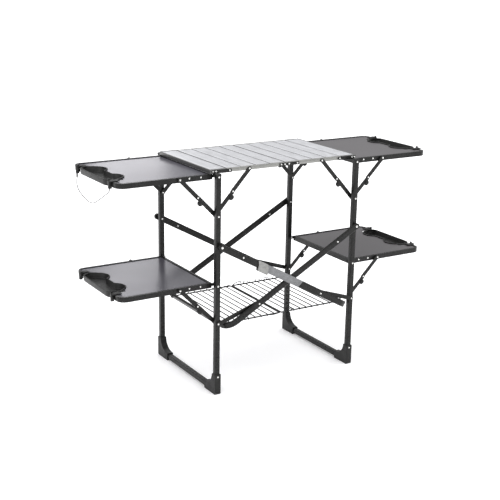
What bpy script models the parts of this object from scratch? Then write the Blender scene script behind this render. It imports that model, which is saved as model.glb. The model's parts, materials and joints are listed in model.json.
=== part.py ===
"""Folding camp kitchen table: two leg frames, a slatted top that folds in the middle, four side tables,
an X of two U-shaped tubes, a folding wire rack, locking struts and a hanging wire loop.

Metres, +Z up. The origin is on the ground under the middle of the table, X runs along its length
and the user stands on the -Y side.
"""
from math import atan2, cos, hypot, pi, sin, tan

import bmesh
import bpy
from mathutils import Matrix, Vector

# ---- Driving dimensions -----------------------------------------------------------------------
GAP = 0.0003                # between faces that touch

LEG_X = 0.294               # leg centre lines, from the middle
LEG_FACE_Y = 0.2235         # outer faces of the legs, from the middle
LEG_SIZE = 0.019            # square tube
LEG_TOP_DROP = 0.012        # leg's top, under the table's top
TUBE_WALL = 0.0011
FOOT_BAR_Z = 0.0155         # centre of the bar along the ground

FOOT_WIDTH = 0.0245
FOOT_HEIGHT = 0.0765
FOOT_REACH = 0.080          # from the foot's outer face inward
FOOT_ARM = 0.0295           # height of the arm round the ground bar

TOP_Z = 0.820               # the table's height
TOP_PIVOT_X = 0.235         # the folding top's end pivots
TOP_PIVOT_DROP = 0.0065     # under the table's top
FOLD_RISE = 0.0003          # axis of the top's middle hinge, over the table's top
TOP_END_X = 0.311
SEAM = 0.0032               # between the fixed end slat and the folding top
SLATS_PER_HALF = 4
SLAT_THICK = 0.003
RAIL_HEIGHT = 0.0135
RAIL_WIDTH = 0.012

UPPER_PIVOT_DROP = 0.0205   # upper side tables' pivots, under the table's top
LOWER_PIVOT_Z = 0.409
SIDE_INNER_X = 0.302
SIDE_OUTER_X = 0.655
SIDE_CORNER = 0.030
RIM_ABOVE = 0.006           # rim's top, over the pivot
RIM_BELOW = 0.012
RIM_WALL = 0.002
RIM_FLANGE = 0.010
RIM_TOP = 0.0025
DECK_THICK = 0.0023
DECK_RISE = 0.0006          # pressed up inside the rim's flange
DECK_MARGIN = 0.001         # between the pressed-up field and the flange or tray

TRAY_PROUD = 0.009          # cup tray's outer face, past the rim
TRAY_HALF = 0.125
TRAY_REACH = 0.062          # from the outer face in to the neck between the cups
TRAY_DEPTH = 0.0215
TRAY_LIP = 0.0015           # stands above the rim
TRAY_WALL = 0.003
CUP_Y = 0.068
CUP_RADIUS = 0.042

STRUT_DROP = 0.139          # from a side table's pivot down to its struts' pivot on the leg
STRUT_REACH = 0.138         # out along the side table
TOP_STRUT_X = 0.155
TOP_STRUT_DROP = 0.0075     # under the table's top
STRUT_WIDTH = 0.015
STRUT_THICK = 0.0024
STRUT_PITCH = 0.00305       # spacing of the four strut layers between leg and rail
KNOB_RADIUS = 0.0095
KNOB_THICK = 0.0028
KNOB_ALONG = 0.019          # from the knee towards the leg
KNOB_BELOW = 0.009

BAR_PIVOT_Z = 0.5565
BAR_END_X = 0.262           # crossbar of each U, past the middle
BAR_END_Z = 0.250
BAR_WIDTH = 0.024
BAR_THICK = 0.010
BAR_BEND = 0.045
BAR_GAP = 0.0015
LINK_X = 0.123              # links' pivots on the bars, past the middle
LINK_WIDTH = 0.016
LINK_THICK = 0.0024

STRAP_START = -0.145
STRAP_END = 0.035
STRAP_THICK = 0.0015

RACK_Z = 0.249
RACK_HALF = 0.178
RACK_OUTER_X = 0.2505
RACK_INNER_X = 0.0035
RACK_CELLS = 9
WIRE_RADIUS = 0.0018
RACK_RAIL_RADIUS = 0.0024

LOOP_RADIUS = 0.0014
HOOK_Y = 0.137
HOOK_WIDTH = 0.010
HOOK_DROP = 0.018

# The wire loop's route, hand chosen, from the back hook to the front one: Y and height over the pivot.
LOOP_PROUD = 0.0055         # past the rim's end
LOOP_SAMPLES = 76
LOOP_POINTS = [
    (0.1370, -0.0184), (0.1378, -0.0295), (0.1410, -0.0435), (0.1420, -0.0565), (0.1350, -0.0695),
    (0.1190, -0.0800), (0.0980, -0.0875), (0.0740, -0.0940), (0.0490, -0.0985), (0.0240, -0.0995),
    (0.0000, -0.0955), (-0.0230, -0.0870), (-0.0460, -0.0760), (-0.0700, -0.0640), (-0.0930, -0.0520),
    (-0.1130, -0.0415), (-0.1275, -0.0330), (-0.1355, -0.0255), (-0.1370, -0.0184),
]

BLACK = (0.022, 0.022, 0.021)
MOULDED = (0.018, 0.018, 0.018)
SILVER = (0.62, 0.62, 0.63)
RAIL_GREY = (0.33, 0.33, 0.32)
DECK_GREY = (0.20, 0.195, 0.21)
WEBBING = (0.26, 0.28, 0.30)
STEEL = (0.55, 0.55, 0.53)

SIDES = {"left": -1, "right": 1}
ENDS = {"front": -1, "back": 1}

# ---- Derived sizes ----------------------------------------------------------------------------
LEG_INNER_Y = LEG_FACE_Y - LEG_SIZE
TABLE_FACE_Y = LEG_INNER_Y - 4 * STRUT_PITCH - GAP      # outer faces of the top's and side tables' rails
LEG_TOP = TOP_Z - LEG_TOP_DROP
TOP_PIVOT_Z = TOP_Z - TOP_PIVOT_DROP
TOP_STRUT_Z = TOP_Z - TOP_STRUT_DROP
FOLD_Z = TOP_Z + FOLD_RISE
SIDE_PIVOTS = {"upper": TOP_Z - UPPER_PIVOT_DROP, "lower": LOWER_PIVOT_Z}
LOOP_X = -SIDE_OUTER_X - LOOP_PROUD
BAR_RUN = LEG_X + BAR_END_X
BAR_FALL = BAR_PIVOT_Z - BAR_END_Z
BAR_LENGTH = hypot(BAR_RUN, BAR_FALL)
BAR_ANGLE = atan2(BAR_FALL, BAR_RUN)
LINK_FACE_Y = LEG_FACE_Y + BAR_GAP
BAR_FACE_Y = {
    "right": LINK_FACE_Y + LINK_THICK + BAR_GAP,
    "left": LINK_FACE_Y + LINK_THICK + 2 * BAR_GAP + BAR_THICK,
}
LINK_PIVOT_Z = SIDE_PIVOTS["lower"] - STRUT_DROP
LINK_BAR_Z = BAR_PIVOT_Z - (LEG_X + LINK_X) * tan(BAR_ANGLE)
TRAY_TOP = RIM_ABOVE + TRAY_LIP
TRAY_BULGE_X = SIDE_OUTER_X + TRAY_PROUD
TRAY_NECK_X = TRAY_BULGE_X - TRAY_REACH
CUP_X = TRAY_BULGE_X - CUP_RADIUS - 0.0005


# ---- Scene helpers ----------------------------------------------------------------------------
def clear_scene():
    for item in list(bpy.data.objects):
        bpy.data.objects.remove(item, do_unlink=True)


def new_collection(name):
    collection = bpy.data.collections.new(name)
    bpy.context.scene.collection.children.link(collection)
    return collection


def new_material(name, color, metallic, roughness):
    material = bpy.data.materials.new(name)
    material.use_nodes = True
    shader = material.node_tree.nodes["Principled BSDF"]
    shader.inputs["Base Color"].default_value = (*color, 1.0)
    shader.inputs["Metallic"].default_value = metallic
    shader.inputs["Roughness"].default_value = roughness
    return material


def new_empty(name, location):
    """Marks a moving body's joint; its pieces hang from it, so their origins are on the axis."""
    empty = bpy.data.objects.new(name, None)
    PARTS.objects.link(empty)
    empty.location = location
    return empty


def add_part(name, mesh, material, body):
    """Put a mesh made in world coordinates on its body, with its origin on that body's joint."""
    mesh.transform(Matrix.Translation(-body.location))
    mesh.name = name
    mesh.materials.clear()
    mesh.materials.append(material)
    mesh.shade_smooth()
    mesh.set_sharp_from_angle(angle=0.6)
    part = bpy.data.objects.new(name, mesh)
    PARTS.objects.link(part)
    part.parent = body
    return part


def evaluated_mesh(item):
    """The item's mesh with its modifiers, in world coordinates, welded; the item is removed."""
    bpy.context.view_layer.update()
    graph = bpy.context.evaluated_depsgraph_get()
    mesh = bpy.data.meshes.new_from_object(item.evaluated_get(graph))
    mesh.transform(item.matrix_world)
    bpy.data.objects.remove(item, do_unlink=True)
    work = bmesh.new()
    work.from_mesh(mesh)
    bmesh.ops.remove_doubles(work, verts=work.verts, dist=0.000005)
    bmesh.ops.recalc_face_normals(work, faces=work.faces)
    work.to_mesh(mesh)
    work.free()
    return mesh


def tool_object(mesh):
    item = bpy.data.objects.new("tool", mesh)
    TOOLS.objects.link(item)
    item.hide_render = True
    item.display_type = "WIRE"
    return item


def combine(base, tools, operation):
    """The base mesh joined with, or cut by, each tool mesh."""
    item = tool_object(base)
    cutters = [tool_object(mesh) for mesh in tools]
    for cutter in cutters:
        step = item.modifiers.new("combine", "BOOLEAN")
        step.operation = operation
        step.object = cutter
    mesh = evaluated_mesh(item)
    for cutter in cutters:
        bpy.data.objects.remove(cutter, do_unlink=True)
    return mesh


def union(base, *tools):
    return combine(base, tools, "UNION")


def cut(base, *tools):
    return combine(base, tools, "DIFFERENCE")


# ---- Shape helpers ----------------------------------------------------------------------------
def arc(center, radius, start, end, steps):
    """Points on an arc; angles in turns."""
    angles = [2 * pi * (start + (end - start) * i / steps) for i in range(steps + 1)]
    return [(center[0] + radius * cos(a), center[1] + radius * sin(a)) for a in angles]


def rounded_rectangle(low, high, radii, steps=3):
    """Outline from low to high; radii run from the corner at (high, high), counter-clockwise."""
    corners = [(high[0], high[1]), (low[0], high[1]), (low[0], low[1]), (high[0], low[1])]
    inward = [(-1, -1), (1, -1), (1, 1), (-1, 1)]
    points = []
    for number, (corner, turn, radius) in enumerate(zip(corners, inward, radii)):
        if radius:
            center = (corner[0] + turn[0] * radius, corner[1] + turn[1] * radius)
            points += arc(center, radius, number / 4, (number + 1) / 4, steps)
        else:
            points.append(corner)
    return points


def capsule(start, end, half_width, steps=6):
    """Outline of a bar with round ends about two points."""
    turn = atan2(end[1] - start[1], end[0] - start[0]) / (2 * pi)
    return arc(end, half_width, turn - 0.25, turn + 0.25, steps) + \
        arc(start, half_width, turn + 0.25, turn + 0.75, steps)


def extrude(outline, low, high, matrix):
    """Prism of a flat outline, as a filled 2D curve from low to high along its normal."""
    curve = bpy.data.curves.new("outline", "CURVE")
    curve.dimensions = "2D"
    curve.fill_mode = "BOTH"
    curve.extrude = (high - low) / 2
    spline = curve.splines.new("POLY")
    spline.points.add(len(outline) - 1)
    for point, (u, v) in zip(spline.points, outline):
        point.co = (u, v, 0, 1)
    spline.use_cyclic_u = True
    item = bpy.data.objects.new("outline", curve)
    TOOLS.objects.link(item)
    item.matrix_world = matrix @ Matrix.Translation((0, 0, (low + high) / 2))
    return evaluated_mesh(item)


def flat_prism(outline, low, high):
    """Outline in X and Y, from low to high in Z."""
    return extrude(outline, low, high, Matrix.Identity(4))


def upright_prism(outline, low, high):
    """Outline in X and Z, from low to high in Y."""
    return extrude(outline, -high, -low, Matrix.Rotation(pi / 2, 4, "X"))


def side_prism(outline, low, high):
    """Outline in Y and Z, from low to high in X."""
    return extrude(outline, low, high, Matrix.Rotation(pi / 2, 4, "Z") @ Matrix.Rotation(pi / 2, 4, "X"))


def box(low, high):
    mesh = bpy.data.meshes.new("box")
    work = bmesh.new()
    bmesh.ops.create_cube(work, size=1.0)
    middle = [(a + b) / 2 for a, b in zip(low, high)]
    size = [abs(b - a) for a, b in zip(low, high)]
    bmesh.ops.scale(work, vec=size, verts=work.verts)
    bmesh.ops.translate(work, vec=middle, verts=work.verts)
    work.to_mesh(mesh)
    work.free()
    return mesh


def rod(start, end, radius, segments=8):
    """Round rod between two points."""
    start = Vector(start)
    run = Vector(end) - start
    turn = Vector((0, 0, 1)).rotation_difference(run).to_matrix().to_4x4()
    place = Matrix.Translation(start + run / 2) @ turn
    mesh = bpy.data.meshes.new("rod")
    work = bmesh.new()
    bmesh.ops.create_cone(work, cap_ends=True, segments=segments, radius1=radius, radius2=radius,
                          depth=run.length, matrix=place)
    work.to_mesh(mesh)
    work.free()
    return mesh


def mirrored(mesh, side, end):
    """A mesh made for the right and back, moved to the given side (X) and end (Y)."""
    mesh.transform(Matrix.Diagonal((side, end, 1, 1)))
    if side * end < 0:
        mesh.flip_normals()
    return mesh


# ---- Leg frames -------------------------------------------------------------------------------
def leg_mesh():
    """Square tube, open at its foot, with the steel bracket that carries the top's pivot."""
    half = LEG_SIZE / 2
    middle_y = LEG_FACE_Y - half
    bottom = FOOT_BAR_Z - half
    outline = rounded_rectangle((LEG_X - half, middle_y - half), (LEG_X + half, middle_y + half),
                                [0.0025] * 4, 2)
    bore = half - TUBE_WALL
    leg = flat_prism(outline, bottom, LEG_TOP)
    hollow = box((LEG_X - bore, middle_y - bore, bottom - 0.01),
                 (LEG_X + bore, middle_y + bore, LEG_TOP - 0.012))
    layer = strut_layer(3)
    block = box((LEG_X - 0.0085, layer[0], LEG_TOP - 0.012),
                (LEG_X + 0.0085, LEG_INNER_Y + 0.001, LEG_TOP - 0.001))
    plate_low = TOP_PIVOT_Z - RAIL_HEIGHT / 2
    plate = upright_prism(
        rounded_rectangle((TOP_PIVOT_X - 0.008, plate_low), (LEG_X + 0.010, TOP_Z - 0.0006),
                          [0.001, 0.004, 0.004, 0.001], 3), *layer)
    return union(cut(leg, hollow), block, plate)


def foot_mesh():
    """Moulded corner that takes a leg and the bar along the ground, with a hollowed gusset."""
    outer = LEG_FACE_Y + 0.003
    inner = outer - FOOT_REACH
    shoulder = LEG_INNER_Y - 0.003
    sweep = [(inner + 0.003 + (shoulder - inner - 0.003) * cos(a),
              FOOT_HEIGHT - (FOOT_HEIGHT - FOOT_ARM) * sin(a))
             for a in (pi / 2 * i / 8 for i in range(9))]
    outline = [(outer, 0.003), (outer, FOOT_HEIGHT)] + sweep + \
        [(inner, FOOT_ARM), (inner, 0), (outer - 0.003, 0)]
    shell = side_prism(outline, LEG_X - FOOT_WIDTH / 2, LEG_X + FOOT_WIDTH / 2)
    pocket = LEG_SIZE / 2 + GAP
    middle_y = LEG_FACE_Y - LEG_SIZE / 2
    floor = FOOT_BAR_Z - pocket
    leg_pocket = box((LEG_X - pocket, middle_y - pocket, floor),
                     (LEG_X + pocket, middle_y + pocket, FOOT_HEIGHT + 0.01))
    bar_pocket = box((LEG_X - pocket, inner - 0.01, floor),
                     (LEG_X + pocket, middle_y, FOOT_BAR_Z + pocket))
    return cut(shell, leg_pocket, bar_pocket)


def foot_bar_mesh():
    half = LEG_SIZE / 2
    reach = LEG_INNER_Y - GAP
    outline = rounded_rectangle((LEG_X - half, FOOT_BAR_Z - half), (LEG_X + half, FOOT_BAR_Z + half),
                                [0.0025] * 4, 2)
    bore = half - TUBE_WALL
    return cut(upright_prism(outline, -reach, reach),
               box((LEG_X - bore, -reach - 0.01, FOOT_BAR_Z - bore),
                   (LEG_X + bore, reach + 0.01, FOOT_BAR_Z + bore)))


def end_slat_mesh():
    """Outermost slat, a shallow channel fixed to the leg frame."""
    low = TOP_PIVOT_Z - RAIL_HEIGHT / 2
    inner = TOP_PIVOT_X + 0.007 + SEAM
    outline = [(inner, low)] + [(TOP_END_X, low)] + \
        arc((TOP_END_X - 0.003, TOP_Z - 0.003), 0.003, 0, 0.25, 3) + [(inner, TOP_Z)]
    reach = TABLE_FACE_Y
    wall = 0.0025
    hollow = box((inner + wall, wall - reach, low - 0.01),
                 (TOP_END_X - wall, reach - wall, TOP_Z - SLAT_THICK))
    return cut(upright_prism(outline, -reach, reach), hollow)


# ---- Folding top ------------------------------------------------------------------------------
def top_half_mesh():
    """Slats between two rails, from the middle hinge to the end pivot."""
    inner = 0.0008
    outer = TOP_PIVOT_X + 0.007
    rail_low = TOP_PIVOT_Z - RAIL_HEIGHT / 2
    rail_in = TABLE_FACE_Y - RAIL_WIDTH
    slab = box((inner, -rail_in - 0.001, TOP_Z - 0.0005 - SLAT_THICK),
               (outer, rail_in + 0.001, TOP_Z - 0.0005))
    rails = [box((inner, end * rail_in, rail_low), (outer, end * TABLE_FACE_Y, TOP_Z)) for end in (-1, 1)]
    pitch = (outer - inner) / SLATS_PER_HALF
    seams = [box((inner + pitch * i - 0.001, -rail_in + 0.0005, TOP_Z - 0.0022),
                 (inner + pitch * i + 0.001, rail_in - 0.0005, TOP_Z + 0.01))
             for i in range(1, SLATS_PER_HALF)]
    return cut(union(slab, *rails), *seams)


# ---- Struts and links -------------------------------------------------------------------------
def strut_layer(number, thick=STRUT_THICK):
    """Low and high Y of one of the flat layers between a leg's inner face and the rails."""
    middle = LEG_INNER_Y - 0.0016 - STRUT_PITCH * number
    return middle - thick / 2, middle + thick / 2


def knee(foot, head):
    return (foot[0] + head[0]) / 2, (foot[1] + head[1]) / 2


def lower_strut_mesh(foot, head, layer, under):
    """Lower half of a strut, from its pivot on the leg to the knee, with its lock knob."""
    joint = knee(foot, head)
    length = hypot(joint[0] - foot[0], joint[1] - foot[1])
    along = ((foot[0] - joint[0]) / length, (foot[1] - joint[1]) / length)
    across = (-along[1] * under, along[0] * under)
    center = [joint[i] + along[i] * KNOB_ALONG + across[i] * KNOB_BELOW for i in (0, 1)]
    bar = upright_prism(capsule(foot, joint, STRUT_WIDTH / 2), *strut_layer(layer))
    knob = upright_prism(arc(center, KNOB_RADIUS, 0, 15 / 16, 15), *strut_layer(layer, KNOB_THICK))
    return union(bar, knob)


def upper_strut_mesh(foot, head, layer):
    """Upper half of a strut, from the knee to the table."""
    return upright_prism(capsule(knee(foot, head), head, STRUT_WIDTH / 2), *strut_layer(layer))


def link_mesh():
    """Short flat link from the leg to the bar that comes from the other side."""
    outline = capsule((LEG_X, LINK_PIVOT_Z), (LINK_X, LINK_BAR_Z), LINK_WIDTH / 2)
    return upright_prism(outline, LINK_FACE_Y, LINK_FACE_Y + LINK_THICK)


# ---- Side tables ------------------------------------------------------------------------------
def tray_outlines(grow):
    """The cup tray's plan: two round cups and the straight piece that joins them, grown or shrunk."""
    radius = CUP_RADIUS + grow
    cups = [arc((CUP_X, end * CUP_Y), radius, 0, 27 / 28, 27) for end in (-1, 1)]
    return cups + [rounded_rectangle((TRAY_NECK_X - grow, -TRAY_HALF - grow),
                                     (TRAY_BULGE_X + grow, TRAY_HALF + grow),
                                     [0.006 + grow, 0.006 + grow, 0.006 + grow, 0.006 + grow], 3)]


def rim_mesh(pivot_z):
    """Folded steel rim, open where the tray sits, with its pivot ears and the two loop hooks."""
    top = pivot_z + RIM_ABOVE
    low = pivot_z - RIM_BELOW
    face = TABLE_FACE_Y
    ring = flat_prism(rounded_rectangle((SIDE_INNER_X, -face), (SIDE_OUTER_X, face),
                                        [SIDE_CORNER, 0.003, 0.003, SIDE_CORNER], 6), low, top)

    def inset(amount, radius):
        return rounded_rectangle((SIDE_INNER_X + amount, amount - face),
                                 (SIDE_OUTER_X - amount, face - amount),
                                 [radius, 0, 0, radius], 6)

    under = flat_prism(inset(RIM_WALL, SIDE_CORNER - RIM_WALL), low - 0.01, top - RIM_TOP)
    window = flat_prism(inset(RIM_FLANGE, SIDE_CORNER - RIM_FLANGE), low - 0.01, top + 0.01)
    notch = box((TRAY_NECK_X, -TRAY_HALF - GAP, low - 0.01),
                (SIDE_OUTER_X + 0.01, TRAY_HALF + GAP, top + 0.01))
    ears = []
    hooks = []
    for end in (-1, 1):
        inner_face, outer_face = sorted((end * (face - RIM_WALL), end * face))
        ears.append(upright_prism(capsule((LEG_X, pivot_z), (SIDE_INNER_X + 0.006, pivot_z), 0.0055),
                                  inner_face, outer_face))
        hooks.append(box((SIDE_OUTER_X - 0.001, end * (HOOK_Y - HOOK_WIDTH / 2), pivot_z - HOOK_DROP),
                         (TRAY_BULGE_X, end * (HOOK_Y + HOOK_WIDTH / 2), top + TRAY_LIP)))
    return union(cut(ring, under, window, notch), *ears, *hooks)


def deck_mesh(pivot_z):
    """Flat sheet under the rim's flange, pressed up inside it and cut away round the tray."""
    top = pivot_z + RIM_ABOVE - RIM_TOP - GAP

    def layer(inset, clearance, low, high):
        outline = rounded_rectangle((SIDE_INNER_X + inset, inset - TABLE_FACE_Y),
                                    (SIDE_OUTER_X - inset, TABLE_FACE_Y - inset),
                                    [SIDE_CORNER - inset, 0, 0, SIDE_CORNER - inset], 6)
        tray = [flat_prism(shape, low - 0.01, high + 0.01) for shape in tray_outlines(clearance)]
        return cut(flat_prism(outline, low, high), *tray)

    sheet = layer(RIM_WALL + GAP, GAP, top - DECK_THICK, top)
    field = layer(RIM_FLANGE + DECK_MARGIN, DECK_MARGIN, top - DECK_THICK / 2, top + DECK_RISE)
    return union(sheet, field)


def tray_mesh(pivot_z):
    """Moulded tray with two round cups."""
    top = pivot_z + TRAY_TOP
    low = top - TRAY_DEPTH
    outer = [flat_prism(shape, low, top) for shape in tray_outlines(0)]
    inner = [flat_prism(shape, low + TRAY_WALL, top + 0.01) for shape in tray_outlines(-TRAY_WALL)]
    return cut(union(outer[2], outer[0], outer[1]), *inner)


# ---- Braces, rack and soft parts --------------------------------------------------------------
def brace_mesh(side_name):
    """U-shaped flat-oval tube, swept hollow: two bars and the crossbar between their lower ends."""
    half_y = BAR_FACE_Y[side_name] + BAR_THICK / 2
    profile = bpy.data.curves.new("profile", "CURVE")
    profile.dimensions = "2D"
    section = profile.splines.new("POLY")
    outline = rounded_rectangle((-BAR_THICK / 2, -BAR_WIDTH / 2), (BAR_THICK / 2, BAR_WIDTH / 2),
                                [0.0045] * 4, 3)
    section.points.add(len(outline) - 1)
    for point, (u, v) in zip(section.points, outline):
        point.co = (u, v, 0, 1)
    section.use_cyclic_u = True
    profile_item = bpy.data.objects.new("profile", profile)
    TOOLS.objects.link(profile_item)
    past_end = -BAR_WIDTH / 2 - 0.001
    path = [(past_end, -half_y)]
    path += arc((BAR_LENGTH - BAR_BEND, BAR_BEND - half_y), BAR_BEND, -0.25, 0, 8)
    path += arc((BAR_LENGTH - BAR_BEND, half_y - BAR_BEND), BAR_BEND, 0, 0.25, 8)
    path += [(past_end, half_y)]
    curve = bpy.data.curves.new("brace", "CURVE")
    curve.dimensions = "3D"
    curve.bevel_mode = "OBJECT"
    curve.bevel_object = profile_item
    curve.twist_mode = "Z_UP"
    spline = curve.splines.new("POLY")
    spline.points.add(len(path) - 1)
    for point, (u, v) in zip(spline.points, path):
        point.co = (u, v, 0, 1)
    item = bpy.data.objects.new("brace", curve)
    TOOLS.objects.link(item)
    side = SIDES[side_name]
    turn = BAR_ANGLE if side < 0 else pi - BAR_ANGLE
    place = Matrix.Translation((side * LEG_X, 0, BAR_PIVOT_Z)) @ Matrix.Rotation(turn, 4, "Y")
    item.matrix_world = place
    skin = tool_object(evaluated_mesh(item))
    bpy.data.objects.remove(profile_item, do_unlink=True)
    wall = skin.modifiers.new("wall", "SOLIDIFY")
    wall.thickness = TUBE_WALL
    wall.offset = -1
    beyond = BAR_WIDTH
    outline = [(0, beyond), (-beyond, beyond), (-beyond, -beyond), (0, -beyond)]
    outline += arc((0, 0), BAR_WIDTH / 2, 0.75, 0.25, 12)
    round_ends = upright_prism(outline, -half_y - BAR_THICK, half_y + BAR_THICK)
    round_ends.transform(place)
    return cut(evaluated_mesh(skin), round_ends)


def strap_mesh():
    """Webbing wrapped over the front bar of the left brace, where the two braces cross."""
    inner = BAR_FACE_Y["left"] + 0.002
    face = BAR_FACE_Y["left"] + BAR_THICK + GAP
    bare = BAR_WIDTH / 2 + GAP
    full = bare + STRAP_THICK
    start = (STRAP_START + LEG_X) / cos(BAR_ANGLE)
    end = (STRAP_END + LEG_X) / cos(BAR_ANGLE)
    channel = [(-face - STRAP_THICK, -full), (-inner, -full), (-inner, -bare), (-face, -bare),
               (-face, bare), (-inner, bare), (-inner, full), (-face - STRAP_THICK, full)]
    mesh = side_prism(channel, start, end)
    mesh.transform(Matrix.Translation((-LEG_X, 0, BAR_PIVOT_Z)) @ Matrix.Rotation(BAR_ANGLE, 4, "Y"))
    return mesh


def rack_half_mesh():
    """Half of the wire shelf: two rails and the wires across them."""
    rails = [rod((RACK_INNER_X, end * RACK_HALF, RACK_Z), (RACK_OUTER_X, end * RACK_HALF, RACK_Z),
                 RACK_RAIL_RADIUS)
             for end in (-1, 1)]
    pitch = (RACK_OUTER_X - RACK_INNER_X) / RACK_CELLS
    wires = []
    for number in range(RACK_CELLS + 1):
        x = RACK_INNER_X + pitch * number
        edge = number in (0, RACK_CELLS)
        radius = RACK_RAIL_RADIUS if edge else WIRE_RADIUS
        reach = RACK_HALF + (RACK_RAIL_RADIUS * 0.6 if edge else 0)
        wires.append(rod((x, -reach, RACK_Z), (x, reach, RACK_Z), radius))
    return union(wires[0], *rails, *wires[1:])


def smooth_route(points, samples):
    """Points on a smooth curve (Catmull-Rom) through the given ones."""
    ends = [points[0]] + points + [points[-1]]
    route = []
    for sample in range(samples):
        place = sample * (len(points) - 1) / (samples - 1)
        start = min(int(place), len(points) - 2)
        t = place - start
        a, b, c, d = ends[start:start + 4]
        route.append(tuple(
            0.5 * (2 * b[i] + (c[i] - a[i]) * t + (2 * a[i] - 5 * b[i] + 4 * c[i] - d[i]) * t * t
                   + (3 * b[i] - a[i] - 3 * c[i] + d[i]) * t ** 3) for i in (0, 1)))
    return route


def add_wire_loop(body):
    """Thin wire loop that hangs from the two hooks."""
    curve = bpy.data.curves.new("wire_loop", "CURVE")
    curve.dimensions = "3D"
    curve.bevel_depth = LOOP_RADIUS
    curve.bevel_resolution = 2
    curve.use_fill_caps = True
    spline = curve.splines.new("POLY")
    spline.points.add(LOOP_SAMPLES - 1)
    for point, (y, rise) in zip(spline.points, smooth_route(LOOP_POINTS, LOOP_SAMPLES)):
        point.co = (LOOP_X, y, SIDE_PIVOTS["upper"] + rise, 1)
    item = bpy.data.objects.new("wire_loop", curve)
    TOOLS.objects.link(item)
    add_part("wire_loop", evaluated_mesh(item), STEEL_WIRE, body)


# ---- Assembly ---------------------------------------------------------------------------------
def build_leg_frame(side_name, body):
    side = SIDES[side_name]
    for end_name, end in ENDS.items():
        add_part(f"leg_{side_name}_{end_name}", mirrored(leg_mesh(), side, end), BLACK_STEEL, body)
        add_part(f"foot_{side_name}_{end_name}", mirrored(foot_mesh(), side, end), BLACK_PLASTIC, body)
    add_part(f"foot_bar_{side_name}", mirrored(foot_bar_mesh(), side, 1), BLACK_STEEL, body)
    add_part(f"end_slat_{side_name}", mirrored(end_slat_mesh(), side, 1), ALUMINIUM, body)


def build_top(side_name):
    side = SIDES[side_name]
    pivot = (side * TOP_PIVOT_X, 0, TOP_PIVOT_Z) if side < 0 else (0, 0, FOLD_Z)
    half = new_empty(f"body_top_{side_name}", pivot)
    add_part(f"top_half_{side_name}", mirrored(top_half_mesh(), side, 1), ALUMINIUM, half)
    foot = (LEG_X, SIDE_PIVOTS["upper"] - STRUT_DROP)
    head = (TOP_STRUT_X, TOP_STRUT_Z)
    lower = new_empty(f"body_top_strut_leg_{side_name}", (side * foot[0], 0, foot[1]))
    upper = new_empty(f"body_top_strut_rail_{side_name}", (side * head[0], 0, head[1]))
    for end_name, end in ENDS.items():
        add_part(f"top_strut_leg_{side_name}_{end_name}",
                 mirrored(lower_strut_mesh(foot, head, 2, -1), side, end), BLACK_STEEL, lower)
        add_part(f"top_strut_rail_{side_name}_{end_name}",
                 mirrored(upper_strut_mesh(foot, head, 3), side, end), BLACK_STEEL, upper)


def build_side_table(level, side_name):
    side = SIDES[side_name]
    pivot_z = SIDE_PIVOTS[level]
    name = f"{level}_{side_name}"
    body = new_empty(f"body_table_{name}", (side * LEG_X, 0, pivot_z))
    add_part(f"table_rim_{name}", mirrored(rim_mesh(pivot_z), side, 1), BLACK_STEEL, body)
    add_part(f"table_deck_{name}", mirrored(deck_mesh(pivot_z), side, 1), DECK_SHEET, body)
    add_part(f"cup_tray_{name}", mirrored(tray_mesh(pivot_z), side, 1), BLACK_PLASTIC, body)
    foot = (LEG_X, pivot_z - STRUT_DROP)
    head = (LEG_X + STRUT_REACH, pivot_z)
    lower = new_empty(f"body_strut_leg_{name}", (side * foot[0], 0, foot[1]))
    upper = new_empty(f"body_strut_table_{name}", (side * head[0], 0, head[1]))
    for end_name, end in ENDS.items():
        add_part(f"strut_leg_{name}_{end_name}",
                 mirrored(lower_strut_mesh(foot, head, 0, 1), side, end), BLACK_STEEL, lower)
        add_part(f"strut_table_{name}_{end_name}",
                 mirrored(upper_strut_mesh(foot, head, 1), side, end), BLACK_STEEL, upper)
    return body


def build_braces(side_name):
    side = SIDES[side_name]
    body = new_empty(f"body_brace_{side_name}", (side * LEG_X, 0, BAR_PIVOT_Z))
    add_part(f"brace_{side_name}", brace_mesh(side_name), BLACK_STEEL, body)
    links = new_empty(f"body_links_{side_name}", (side * LEG_X, 0, LINK_PIVOT_Z))
    for end_name, end in ENDS.items():
        add_part(f"link_{side_name}_{end_name}", mirrored(link_mesh(), side, end), BLACK_STEEL, links)
    rack = new_empty(f"body_rack_{side_name}", (side * BAR_END_X, 0, BAR_END_Z))
    add_part(f"rack_{side_name}", mirrored(rack_half_mesh(), side, 1), BLACK_WIRE, rack)
    return body


clear_scene()
PARTS = new_collection("camp_kitchen_table")
TOOLS = new_collection("construction")
BLACK_STEEL = new_material("black_painted_steel", BLACK, 0.2, 0.42)
BLACK_PLASTIC = new_material("black_plastic", MOULDED, 0.0, 0.5)
BLACK_WIRE = new_material("black_wire", BLACK, 0.2, 0.45)
ALUMINIUM = new_material("slat_aluminium", SILVER, 0.85, 0.38)
DECK_SHEET = new_material("deck_sheet", DECK_GREY, 0.3, 0.35)
STRAP_WEBBING = new_material("strap_webbing", WEBBING, 0.0, 0.85)
STEEL_WIRE = new_material("steel_wire", STEEL, 0.9, 0.3)

for name_of_side in SIDES:
    frame = new_empty(f"body_leg_frame_{name_of_side}", (0, 0, 0))
    build_leg_frame(name_of_side, frame)
    build_top(name_of_side)
    brace = build_braces(name_of_side)
    if name_of_side == "left":
        add_part("strap", strap_mesh(), STRAP_WEBBING, brace)
    for name_of_level in SIDE_PIVOTS:
        side_table = build_side_table(name_of_level, name_of_side)
        if (name_of_level, name_of_side) == ("upper", "left"):
            add_wire_loop(side_table)
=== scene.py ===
"""The looks of a folding camp kitchen table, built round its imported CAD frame.

Metres, +Z up, X along the table, the user stands on the -Y side. Steel frame parts keep their CAD shape and get
softened edges; the top, trays, rack, strap and wire loop are replaced by detailed pieces.
"""
import json
from math import atan2, cos, pi, radians, sin
from random import Random

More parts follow.
